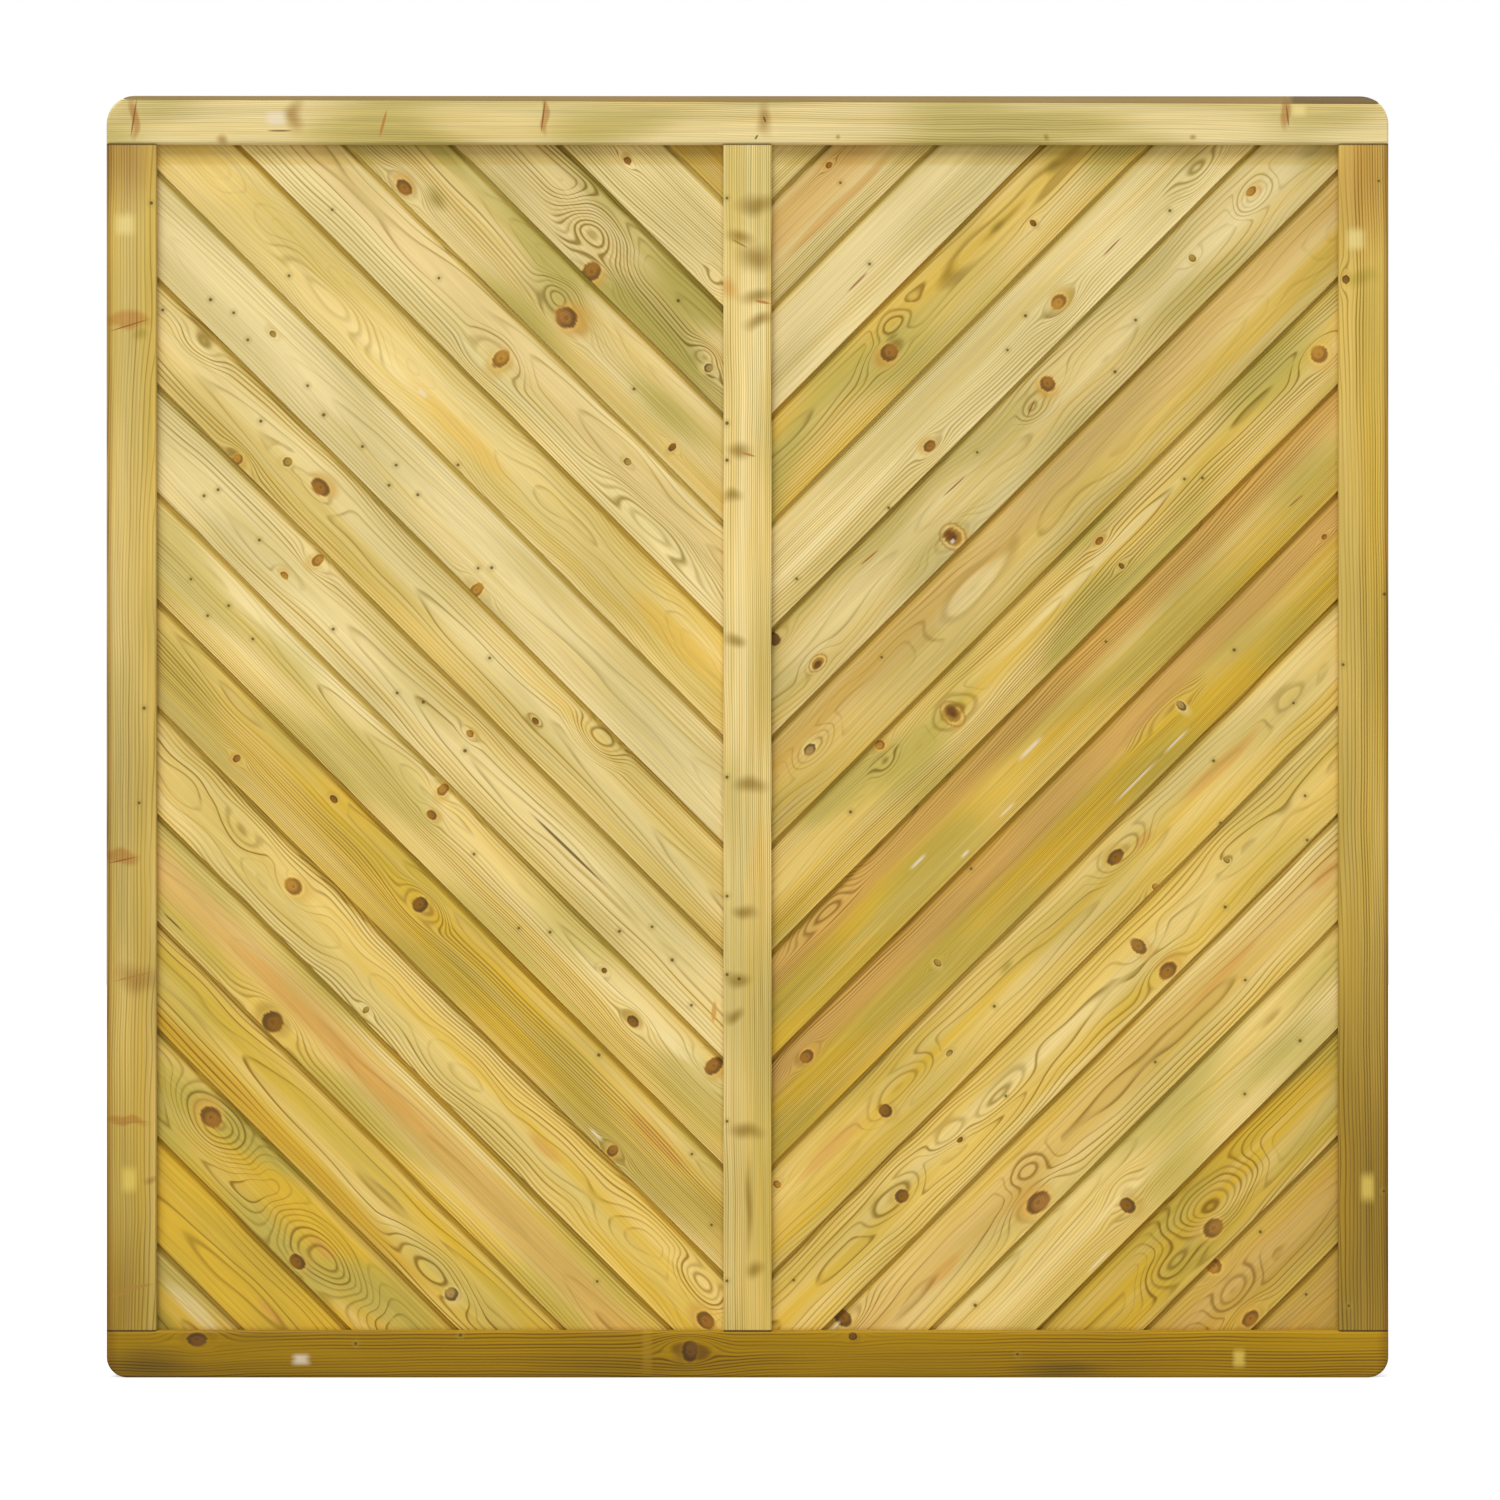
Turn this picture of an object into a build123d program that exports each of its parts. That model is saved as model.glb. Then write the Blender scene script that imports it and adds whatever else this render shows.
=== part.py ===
from build123d import *
from math import ceil, sqrt
import os

# Fence panel with a grooved frame and slanting tongue-and-groove boards, in millimetres.
# X runs along the fence, -Y is the front, Z is up, and the origin is under the panel's middle.

# Whole panel
panel_width = 1800
panel_height = 1800
frame_depth = 45

# Frame timbers, seen from the front
top_rail_height = 68.5
bottom_rail_height = 66
stile_width = 70
muntin_width = 67.5
top_corner_radius = 40
bottom_corner_radius = 29

# Eased edges of the timbers
outer_arris = 4
stile_inner_arris = 2.5
muntin_arris = 1.2

# Waney bevel on the top rail's front edge, which widens towards the right
wane_left = 5
wane_right = 11.5

# Boards
board_thickness = 16
board_cover = 106.75
top_board_drop = 75
board_arris = 1

# Shadow joint between two boards: tongue up, groove down
joint_gap = 6.5
joint_recess = 4
tongue_thickness = 5
tongue_reach = 7.5
tongue_side_play = 0.2
tongue_end_play = 1
back_gap = 1

# Groove that holds the boards in the frame
frame_groove_depth = 12
board_side_play = 0.25
board_end_play = 1
tenon_side_play = 0.2
tenon_end_play = 0.5

# Blunt countersunk screws that hold the rails to the uprights
screw_length = 120
screw_diameter = 6
screw_head_diameter = 12
screw_head_height = 4
screw_socket_width = 4.6
screw_socket_depth = 2
screw_sink = 0.5
screw_play = 0.1
screw_hole_extra = 2
stile_screw_inset = 11

# Sizes that follow from the ones above
opening_top = panel_height - top_rail_height
opening_height = opening_top - bottom_rail_height
opening_outer = panel_width / 2 - stile_width
opening_inner = muntin_width / 2
frame_groove_width = board_thickness + 2 * board_side_play
tenon_thickness = frame_groove_width - 2 * tenon_side_play
tenon_length = frame_groove_depth - tenon_end_play
board_housing = frame_groove_depth - board_end_play
joint_drop = board_cover * sqrt(2)
slant_height = opening_outer - opening_inner + opening_height
board_count = 1 + ceil((slant_height - top_board_drop) / joint_drop)
stile_screw_x = panel_width / 2 - stile_width + frame_groove_depth + stile_screw_inset

os.makedirs("parts", exist_ok=True)


def export(piece, name):
    piece.label = name
    export_step(piece, f"parts/{name}.step")


# Screw along -Z, with the top of its head at the origin
with BuildPart() as screw:
    with BuildSketch(Plane.XZ) as half_section:
        with BuildLine():
            Polyline(
                (0, 0),
                (screw_head_diameter / 2, 0),
                (screw_diameter / 2, -screw_head_height),
                (screw_diameter / 2, -screw_length),
                (0, -screw_length),
                close=True,
            )
        make_face()
    revolve(axis=Axis.Z)
    with BuildSketch() as socket:
        RegularPolygon(screw_socket_width / 2, 6)
    extrude(amount=-screw_socket_depth, mode=Mode.SUBTRACT)

# Room that a screw takes out of the timber, a little larger all round
with BuildPart() as screw_room:
    with BuildSketch(Plane.XZ) as half_room:
        with BuildLine():
            Polyline(
                (0, screw_hole_extra),
                (screw_head_diameter / 2 + screw_play, screw_hole_extra),
                (screw_head_diameter / 2 + screw_play, -screw_play),
                (screw_diameter / 2 + screw_play, -screw_head_height - screw_play),
                (screw_diameter / 2 + screw_play, -screw_length - screw_hole_extra),
                (0, -screw_length - screw_hole_extra),
                close=True,
            )
        make_face()
    revolve(axis=Axis.Z)

# Places of the screw heads, pointing down from the top and up from the bottom
screw_columns = (-stile_screw_x, 0, stile_screw_x)
top_screws = [Location((x, 0, panel_height - screw_sink)) for x in screw_columns]
bottom_screws = [Location((x, 0, screw_sink), (180, 0, 0)) for x in screw_columns]

# Bottom rail
with BuildPart() as bottom_rail:
    with BuildSketch(Plane.XZ) as bottom_face:
        with Locations((0, bottom_rail_height / 2)):
            Rectangle(panel_width, bottom_rail_height)
        fillet(bottom_face.vertices().group_by(Axis.Y)[0], bottom_corner_radius)
    extrude(amount=frame_depth / 2, both=True)
    fillet(bottom_rail.faces().filter_by(Axis.Y).edges(), outer_arris)
    with BuildSketch(Plane.YZ) as bottom_groove:
        with Locations((0, bottom_rail_height)):
            Rectangle(frame_groove_width, 2 * frame_groove_depth)
    extrude(amount=panel_width, both=True, mode=Mode.SUBTRACT)
    with Locations(*bottom_screws):
        add(screw_room.part, mode=Mode.SUBTRACT)
export(bottom_rail.part, "bottom_rail")

# Top rail, with the wane planed off as one sloping facet
wane_slope = Vector(panel_width, 0, wane_left - wane_right)
wane_facet = Plane(
    origin=(-panel_width / 2, -frame_depth / 2, panel_height - wane_left),
    x_dir=wane_slope,
    z_dir=wane_slope.cross(Vector(0, 1, 1)),
)
with BuildPart() as top_rail:
    with BuildSketch(Plane.XZ) as top_face:
        with Locations((0, panel_height - top_rail_height / 2)):
            Rectangle(panel_width, top_rail_height)
        fillet(top_face.vertices().group_by(Axis.Y)[-1], top_corner_radius)
    extrude(amount=frame_depth / 2, both=True)
    fillet(top_rail.faces().filter_by(Axis.Y).edges(), outer_arris)
    split(bisect_by=wane_facet, keep=Keep.BOTTOM)
    with BuildSketch(Plane.YZ) as top_groove:
        with Locations((0, opening_top)):
            Rectangle(frame_groove_width, 2 * frame_groove_depth)
    extrude(amount=panel_width, both=True, mode=Mode.SUBTRACT)
    with Locations(*top_screws):
        add(screw_room.part, mode=Mode.SUBTRACT)
export(top_rail.part, "top_rail")

# Left stile: square shoulders between the rails, a tenon at each end and a groove for the boards
with BuildPart() as left_stile:
    with BuildSketch(Plane.XZ) as stile_face:
        with Locations((-opening_outer, bottom_rail_height)):
            Rectangle(stile_width, opening_height, align=(Align.MAX, Align.MIN))
    extrude(amount=frame_depth / 2, both=True)
    uprights = left_stile.edges().filter_by(Axis.Z).group_by(Axis.X)
    fillet(uprights[0], outer_arris)
    fillet(uprights[-1], stile_inner_arris)
    with BuildSketch(Plane.XZ) as stile_tenons:
        with Locations((-panel_width / 2, bottom_rail_height - tenon_length)):
            Rectangle(stile_width, opening_height + 2 * tenon_length, align=(Align.MIN, Align.MIN))
    extrude(amount=tenon_thickness / 2, both=True)
    with BuildSketch(Plane.XY) as stile_groove:
        with Locations((-opening_outer, 0)):
            Rectangle(2 * frame_groove_depth, frame_groove_width)
    extrude(amount=panel_height, mode=Mode.SUBTRACT)
    with Locations(*top_screws, *bottom_screws):
        add(screw_room.part, mode=Mode.SUBTRACT)
export(left_stile.part, "left_stile")

with BuildPart() as right_stile:
    mirror(left_stile.part, about=Plane.YZ)
export(right_stile.part, "right_stile")

# Muntin: the middle upright, grooved on both edges
with BuildPart() as muntin:
    with BuildSketch(Plane.XZ) as muntin_face:
        with Locations((0, bottom_rail_height)):
            Rectangle(muntin_width, opening_height, align=(Align.CENTER, Align.MIN))
    extrude(amount=frame_depth / 2, both=True)
    fillet(muntin.edges().filter_by(Axis.Z), muntin_arris)
    with BuildSketch(Plane.XZ) as muntin_tenons:
        with Locations((0, bottom_rail_height - tenon_length)):
            Rectangle(muntin_width, opening_height + 2 * tenon_length, align=(Align.CENTER, Align.MIN))
    extrude(amount=tenon_thickness / 2, both=True)
    with BuildSketch(Plane.XY) as muntin_grooves:
        with Locations((-opening_inner, 0), (opening_inner, 0)):
            Rectangle(2 * frame_groove_depth, frame_groove_width)
    extrude(amount=panel_height, mode=Mode.SUBTRACT)
    with Locations(*top_screws, *bottom_screws):
        add(screw_room.part, mode=Mode.SUBTRACT)
export(muntin.part, "muntin")

# Boards, from the top down. Each one runs down towards the muntin and is cut off square in the frame groove.
# Section of a board: x runs up across it, y towards the front.
front = board_thickness / 2
tongue_front = front - joint_recess
tongue_back = tongue_front - tongue_thickness
for number in range(1, board_count + 1):
    lip_height = opening_top - top_board_drop - (number - 1) * joint_drop
    across = Plane(origin=(-opening_inner, 0, lip_height), x_dir=(1, 0, 1), z_dir=(1, 0, -1))
    with BuildPart() as left_board:
        with BuildSketch(across) as section:
            with BuildLine():
                Polyline(
                    (0, front),
                    (board_cover - joint_gap, front),
                    (board_cover - joint_gap, tongue_front),
                    (board_cover + tongue_reach, tongue_front),
                    (board_cover + tongue_reach, tongue_back),
                    (board_cover - back_gap, tongue_back),
                    (board_cover - back_gap, -front),
                    (0, -front),
                    (0, tongue_back - tongue_side_play),
                    (tongue_reach + tongue_end_play, tongue_back - tongue_side_play),
                    (tongue_reach + tongue_end_play, tongue_front + tongue_side_play),
                    (0, tongue_front + tongue_side_play),
                    close=True,
                )
            make_face()
            corners = section.vertices().group_by(Axis.Y)
            chamfer(corners[0] + corners[-1], board_arris)
        extrude(amount=panel_width + panel_height, both=True)
        with BuildSketch(Plane.XZ) as housing:
            with Locations((-opening_inner + board_housing, bottom_rail_height - board_housing)):
                Rectangle(
                    opening_outer - opening_inner + 2 * board_housing,
                    opening_height + 2 * board_housing,
                    align=(Align.MAX, Align.MIN),
                )
        extrude(amount=frame_depth, both=True, mode=Mode.INTERSECT)
    export(left_board.part, f"left_board_{number:02d}")

    with BuildPart() as right_board:
        mirror(left_board.part, about=Plane.YZ)
    export(right_board.part, f"right_board_{number:02d}")

# All the screws in one group of separate solids
with BuildPart() as frame_screws:
    with Locations(*top_screws, *bottom_screws):
        add(screw.part)
export(frame_screws.part, "frame_screws")
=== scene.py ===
import math

import bpy
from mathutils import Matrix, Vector


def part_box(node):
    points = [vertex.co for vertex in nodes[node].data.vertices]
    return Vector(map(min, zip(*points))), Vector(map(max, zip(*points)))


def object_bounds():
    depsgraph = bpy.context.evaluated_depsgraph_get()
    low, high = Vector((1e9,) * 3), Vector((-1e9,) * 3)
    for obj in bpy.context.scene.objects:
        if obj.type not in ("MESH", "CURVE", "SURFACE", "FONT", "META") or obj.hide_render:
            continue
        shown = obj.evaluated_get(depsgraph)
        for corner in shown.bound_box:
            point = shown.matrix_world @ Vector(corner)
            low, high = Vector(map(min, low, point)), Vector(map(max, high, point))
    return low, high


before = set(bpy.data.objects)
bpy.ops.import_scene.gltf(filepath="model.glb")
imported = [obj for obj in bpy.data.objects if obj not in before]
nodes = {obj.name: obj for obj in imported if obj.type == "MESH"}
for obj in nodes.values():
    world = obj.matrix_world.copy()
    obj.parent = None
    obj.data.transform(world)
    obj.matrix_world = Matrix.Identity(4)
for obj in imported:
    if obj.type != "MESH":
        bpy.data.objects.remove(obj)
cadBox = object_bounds()
print("frame loaded,", len(nodes), "pieces")


# Shader wiring
class Wire:  # a socket in a node tree; sums on it add Math nodes
    def __init__(self, tree, socket):
        self.tree = tree
        self.socket = socket

    def node(self, kind, settings, sockets, out=0):
        made = self.tree.nodes.new(kind)
        for key, value in settings.items():
            setattr(made, key, value)
        for key, value in sockets.items():
            if isinstance(value, Wire):
                self.tree.links.new(value.socket, made.inputs[key])
            else:
                made.inputs[key].default_value = value
        return Wire(self.tree, made.outputs[out])

    def math(self, operation, *values):
        return self.node("ShaderNodeMath", {"operation": operation}, dict(enumerate(values)))

    def __add__(self, other):
        return self.math("ADD", self, other)

    def __radd__(self, other):
        return self.math("ADD", other, self)

    def __sub__(self, other):
        return self.math("SUBTRACT", self, other)

    def __rsub__(self, other):
        return self.math("SUBTRACT", other, self)

    def __mul__(self, other):
        return self.math("MULTIPLY", self, other)

    def __rmul__(self, other):
        return self.math("MULTIPLY", other, self)

    def __truediv__(self, other):
        return self.math("DIVIDE", self, other)

    def __rtruediv__(self, other):
        return self.math("DIVIDE", other, self)

    def below(self, other):
        return self.math("MINIMUM", self, other)

    def above(self, other):
        return self.math("MAXIMUM", self, other)

    def root(self):
        return self.math("SQRT", self)

    def part(self):
        return self.math("FRACT", self)

    def whole(self):
        return self.math("FLOOR", self)

    def size(self):
        return self.math("ABSOLUTE", self)

    def ease(self, low, high, start=0.0, end=1.0):  # smooth step from start at low to end at high
        return self.node("ShaderNodeMapRange", {"interpolation_type": "SMOOTHSTEP"},
                         {0: self, 1: low, 2: high, 3: start, 4: end})

    def vector(self, operation, *values, out=0):
        return self.node("ShaderNodeVectorMath", {"operation": operation}, dict(enumerate(values)), out)

    def join(self, *values):
        return self.node("ShaderNodeCombineXYZ", {}, dict(enumerate(values)))

    def dot(self, direction):
        return self.vector("DOT_PRODUCT", self, direction, out=1)

    def length(self):
        return self.vector("LENGTH", self, out=1)

    def spot(self, centre, reach):  # offset from centre, in units of an oval's two half widths
        scale = (1 / reach[0], 1 / reach[1], 0)
        shift = (-centre[0] / reach[0], -centre[1] / reach[1], 0)
        return self.vector("MULTIPLY_ADD", self, scale, shift)

    def mix(self, other, factor, blend="MIX"):  # colours
        return self.node("ShaderNodeMix", {"data_type": "RGBA", "blend_type": blend},
                         {0: factor, 6: self, 7: other}, 2)

    def between(self, first, second):  # colour between two, with this as the factor
        return self.node("ShaderNodeMix", {"data_type": "RGBA"}, {0: self, 6: first, 7: second}, 2)

    def scaled(self, factor):
        return self.node("ShaderNodeVectorMath", {"operation": "SCALE"}, {0: self, 3: factor})

    def noise(self, stretch, seed, detail=2.0, out=0):
        moved = self.vector("MULTIPLY_ADD", self, stretch, (seed, seed * 1.7, seed * 0.6))
        return self.node("ShaderNodeTexNoise", {},  # the seed moves the pattern
                         {"Vector": moved, "Scale": 1.0, "Detail": detail, "Roughness": 0.55}, out)


def paint(red, green, blue):  # screen colour to linear light
    def lin(value):
        value /= 255
        return value / 12.92 if value <= 0.04045 else ((value + 0.055) / 1.055) ** 2.4
    return (lin(red), lin(green), lin(blue), 1.0)


# Treated pine, shared tones
pineTones = {
    "pale": paint(234, 213, 151),
    "gold": paint(214, 175, 52),
    "green": paint(190, 174, 80),
    "heart": paint(208, 162, 88),
    "amber": paint(222, 180, 72),
    "orange": paint(208, 156, 72),
    "honey": paint(204, 156, 36),
    "rust": paint(182, 122, 46),
    "olive": paint(164, 142, 52),
    "moss": paint(146, 114, 22),
    "smoke": paint(112, 86, 14),
    "brown": paint(168, 126, 54),
    "umber": paint(92, 62, 22),
    "bronze": paint(160, 124, 26),
    "line": paint(176, 162, 108),
    "pin": paint(88, 60, 24),
    "chip": paint(242, 221, 142),
    "gleam": paint(230, 202, 96),
    "bare": paint(240, 226, 200),
    "red": paint(140, 80, 36),
    "dark": paint(76, 50, 18),
}

# Knots: tones of the core, its rim and its halo, how strong the halo is and how far it reaches;
# ring: strength of a second rim further out
knotKinds = {
    "red": dict(core=paint(166, 114, 34), rim=paint(104, 66, 14), halo=paint(204, 158, 66),
                strength=0.7, reach=2.0),
    "dark": dict(core=paint(144, 97, 16), rim=paint(80, 48, 8), halo=paint(196, 158, 66),
                 strength=0.6, reach=2.0),
    "orange": dict(core=paint(197, 144, 50), rim=paint(138, 90, 18), halo=paint(212, 172, 78),
                   strength=0.6, reach=2.2),
    "grey": dict(core=paint(184, 150, 62), rim=paint(124, 92, 24), halo=paint(206, 182, 98),
                 strength=0.5, reach=2.2),
    "ringed": dict(core=paint(184, 150, 80), rim=paint(84, 58, 14), halo=paint(222, 198, 120),
                   strength=0.6, reach=2.0),
    "brown": dict(core=paint(168, 120, 44), rim=paint(112, 74, 16), halo=paint(206, 164, 76),
                  strength=0.6, reach=2.0),
    "stained": dict(core=paint(112, 76, 24), rim=paint(72, 46, 10), halo=paint(132, 98, 14),
                    strength=0.5, reach=2.0),
    "halo": dict(core=paint(172, 120, 50), rim=paint(100, 62, 16), halo=paint(206, 156, 64),
                 strength=0.75, reach=2.3),
    "soft": dict(core=paint(110, 67, 8), rim=paint(166, 119, 38), halo=paint(208, 168, 78),
                 strength=0.6, reach=1.8, ring=0.6),
}
# Sizes of a knot in units of its radius, and how its tones change from the halo inwards
knotShape = dict(long=0.92, wide=0.86, unround=0.2, fray=0.5, flowLong=2.6, flowWide=1.25, loops=0.12,
                 haloLean=0.35, gapShade=1.16, ringAt=1.6, rimShare=0.9, coreLean=0.4, coreShare=0.95,
                 growth=3.4, growthShade=0.22, centreShade=0.25)

# A plain piece; each board and timber below gives only what differs. Lengths are in millimetres:
# pith: up the face and behind it; drift: how far it sinks in a metre; sway: how far it wanders
# spacing: between rings; heart: middle, half width and share of a warm band; stain: a colour and its share
# fade: gain in brightness with each millimetre along; knots: along, across, radius, kind; pins: along, across
# cracks: both ends, half width, tone; eyes: along, across, half length, half width, loops
# lenses, blots and chips: along, across, half length, half width, tone
plainLook = dict(gold=0.3, green=0.2, heart=(50, 20, 0.0), value=1.0, fade=0.0, stain=None, pith=(50, 45), drift=9,
                 sway=7, wave=0.003, ripple=0.7, spacing=2.8, lines=0.9,
                 knots=[], pins=[], eyes=[], cracks=[], lenses=[], blots=[], chips=[])
heightTint = dict(middle=0.9, perMetre=0.22)  # the panel is yellower towards the ground

# Noise scales in a millimetre along the grain, across it and through it
grainScales = dict(wave=0.008, rough=(0.011, 0.032, 0.032), fibre=(0.006, 0.34, 0.34), patch=(0.0028, 0.02, 0.02),
                   bands=(0.0016, 0.028, 0.028), clouds=(0.005, 0.016, 0.016))
grainLook = dict(bow=(24, 9), wobble=0.6, lateWide=3.4, lateLeast=0.3, lateMost=0.7, crest=0.35, earlyShare=0.15,
                 faintest=0.35, bandShare=1.5, ringShare=0.08, goldShift=-0.04, heartSway=30,
                 fibreShade=0.5, cloudShade=-0.3)
eyeShape = dict(long=1.7, wide=1.5, face=8, hold=0.8, loops=1.3, steep=0.6)
markShares = dict(lens=0.65, blot=0.75, crack=0.85, pinHalo=0.3, pin=0.85, chip=0.65)
pineFinish = dict(roughness=0.56, fibreRough=0.16, lineGloss=0.08, bump=0.35, bumpHeight=0.0004, specular=0.25)


def pine(name, axes, settings, seed, finishing):
    # axes: rows of (direction, start) that give millimetres along the grain, across it and through it
    look = {**plainLook, **settings}
    grain, scales, shares, finish = grainLook, grainScales, markShares, pineFinish
    material = bpy.data.materials.new(name)
    material.use_nodes = True
    tree = material.node_tree
    shader = tree.nodes["Principled BSDF"]
    place = Wire(tree, tree.nodes.new("ShaderNodeTexCoord").outputs["Object"])
    along, across, depth = [place.dot([1000 * v for v in way]) - start for way, start in axes]
    flat = place.join(along, across, 0.0)
    solid = place.join(along, across, depth)

    # slow waves of the grain, and a short roughness that bends the marks
    wave = solid.noise((look["wave"], scales["wave"], scales["wave"]), seed, 1.0, 1)
    rough = solid.noise(scales["rough"], seed + 3.1, 0.0, 1)
    ripple = rough.dot((0, 0, 1))
    fibre = solid.noise(scales["fibre"], seed + 5.9, 2.0)
    wobble = (ripple - 0.5) * grain["wobble"]
    bowAlong, bowAcross = grain["bow"]
    bowed = flat.vector("MULTIPLY_ADD", rough, (bowAlong, bowAcross, 0), flat)
    bowed = bowed.vector("SUBTRACT", bowed, (bowAlong / 2, bowAcross / 2, 0))

    # grain flows round each knot as water round a post
    bent = across
    swell = None
    knots = []
    for turn, (knotAlong, knotAcross, size, kind) in enumerate(look["knots"]):
        flowWide = size * knotShape["flowWide"]
        flow = flat.spot((knotAlong, knotAcross), (size * knotShape["flowLong"], flowWide))
        bent = bent - flow.dot((0, 1, 0)) * flowWide / flow.dot(flow).above(1.0)
        loops = flow.length().ease(0.5, 2.2, knotShape["loops"] * size, 0)
        swell = loops if swell is None else swell + loops
        oval = 1 + knotShape["unround"] * math.sin(turn * 2.1 + seed)
        halves = (size * knotShape["long"] * oval, size * knotShape["wide"] / oval)
        aside = flat.spot((knotAlong, knotAcross), halves)
        tilt = turn * 1.7 + seed
        lean = aside.dot((math.cos(tilt), math.sin(tilt), 0))
        knots.append((aside.length() + (fibre - 0.5) * knotShape["fray"], lean, knotKinds[kind]))

    # growth rings: distance from a pith that lies behind the face and wanders along the piece
    pithAcross, pithDepth = look["pith"]
    offset = bent + (wave.dot((1, 0, 0)) - 0.5) * (2 * look["sway"]) - pithAcross
    down = along * (look["drift"] / 1000) + (wave.dot((0, 1, 0)) - 0.5) * (2 * look["sway"]) + pithDepth - depth
    radius = (offset * offset + down * down).root()
    rings = radius / look["spacing"] + ripple * look["ripple"]
    if swell is not None:
        rings = rings + swell
    swirl = None
    for eyeAlong, eyeAcross, long, wide, count in look["eyes"]:  # an eye levels the rings and adds closed loops
        eye = bowed.spot((eyeAlong, eyeAcross), (long * eyeShape["long"], wide * eyeShape["wide"])).length()
        sunk = eyeAlong * look["drift"] / 1000 + pithDepth + eyeShape["face"]
        level = math.hypot(eyeAcross - pithAcross, sunk) / look["spacing"]
        rings = rings + (level - rings) * eye.ease(1.2, 0.3, 0, eyeShape["hold"])
        rings = rings + eye.ease(0, 1.2, count * eyeShape["loops"], 0)
        swirl = eye if swirl is None else swirl.below(eye)
    phase = rings.part()
    chance = rings.node("ShaderNodeTexWhiteNoise", {"noise_dimensions": "1D"}, {"W": rings.whole() + seed}, 1)
    steep = offset.size() / radius
    if swirl is not None:
        steep = steep.above(swirl.ease(1.0, 0.6) * eyeShape["steep"])

    # late-wood lines, thin where the rings are far apart and faint in patches
    share = (steep * (grain["lateWide"] / look["spacing"])).above(grain["lateLeast"]).below(grain["lateMost"])
    crest = 1 - share * grain["crest"]
    late = phase.ease(1 - share, crest) * phase.ease(1.0, crest)
    patchy = solid.noise(scales["patch"], seed + 7.7, 0.0).ease(0.32, 0.6, 0.4, 1)
    if swirl is not None:
        patchy = patchy.above(swirl.ease(1.1, 0.7))
    darkness = chance.dot((1 - grain["faintest"], 0, 0)) + grain["faintest"]
    line = (late + phase * grain["earlyShare"]) * darkness * patchy * steep.ease(0.0, 0.15, 0.3, 1)

    # tones in long bands, soft clouds and fibres
    bands = solid.noise(scales["bands"], seed + 11.3, 2.0)
    clouds = solid.noise(scales["clouds"], seed + 17.9, 0.0)
    rise = place.dot((0, 0, -heightTint["perMetre"])) + heightTint["middle"] * heightTint["perMetre"]
    warm = (bands - 0.5) * grain["bandShare"] + chance.dot((0, grain["ringShare"], 0)) + rise
    warm = warm + (look["gold"] + grain["goldShift"])
    tone = warm.between(pineTones["pale"], pineTones["gold"])
    tone = tone.mix(pineTones["green"], clouds.ease(0.38, 0.66) * look["green"])
    heartAt, heartWide, heartShare = look["heart"]
    if heartShare:
        heartSway = wave.dot((grain["heartSway"], 0, 0)) - grain["heartSway"] / 2
        heartGap = (across + heartSway - heartAt) / heartWide
        tone = tone.mix(pineTones["heart"], heartGap.size().ease(1.4, 0.3) * heartShare)
    if look["stain"]:
        tone = tone.mix(paint(*look["stain"][:3]), look["stain"][3])
    for lensAlong, lensAcross, long, wide, colour in look["lenses"]:
        shape = bowed.spot((lensAlong, lensAcross), (long, wide)).length()
        tone = tone.mix(pineTones[colour], shape.ease(1.15, 0.5) * shares["lens"])
    for blotAlong, blotAcross, long, wide, colour in look["blots"]:
        shape = bowed.spot((blotAlong, blotAcross), (long, wide)).length()
        tone = tone.mix(pineTones[colour], shape.ease(1.3, 0.1) * shares["blot"])
    shade = (fibre - 0.5) * grain["fibreShade"] + (clouds - 0.5) * grain["cloudShade"]
    tone = tone.scaled(shade + along * look["fade"] + look["value"])
    tone = tone.mix(pineTones["line"], line * look["lines"], "MULTIPLY")

    # knots, from halo to core
    nearest = None
    for away, lean, kind in knots:
        halo = (away - lean * knotShape["haloLean"]).ease(kind["reach"], 0.9, 0, kind["strength"])
        tone = tone.mix(kind["halo"], halo)
        tone = tone.scaled(away.ease(1.6, 1.2, 1, knotShape["gapShade"]))
        if "ring" in kind:
            ring = (away - knotShape["ringAt"]).size().ease(0.25, 0.05, 0, kind["ring"])
            tone = tone.mix(kind["rim"], ring)
        tone = tone.mix(kind["rim"], away.ease(1.25, 0.95, 0, knotShape["rimShare"]))
        core = (away + lean * knotShape["coreLean"]).ease(1.0, 0.35, 0, knotShape["coreShare"])
        tone = tone.mix(kind["core"], core)
        nearest = away if nearest is None else nearest.below(away)
    if nearest is not None:
        grown = (nearest * knotShape["growth"] + ripple * 2).part() * nearest.ease(1.0, 0.8)
        centre = nearest.ease(0.3, 0.1)
        tone = tone.scaled(1 - grown * knotShape["growthShade"] - centre * knotShape["centreShade"])

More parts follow.
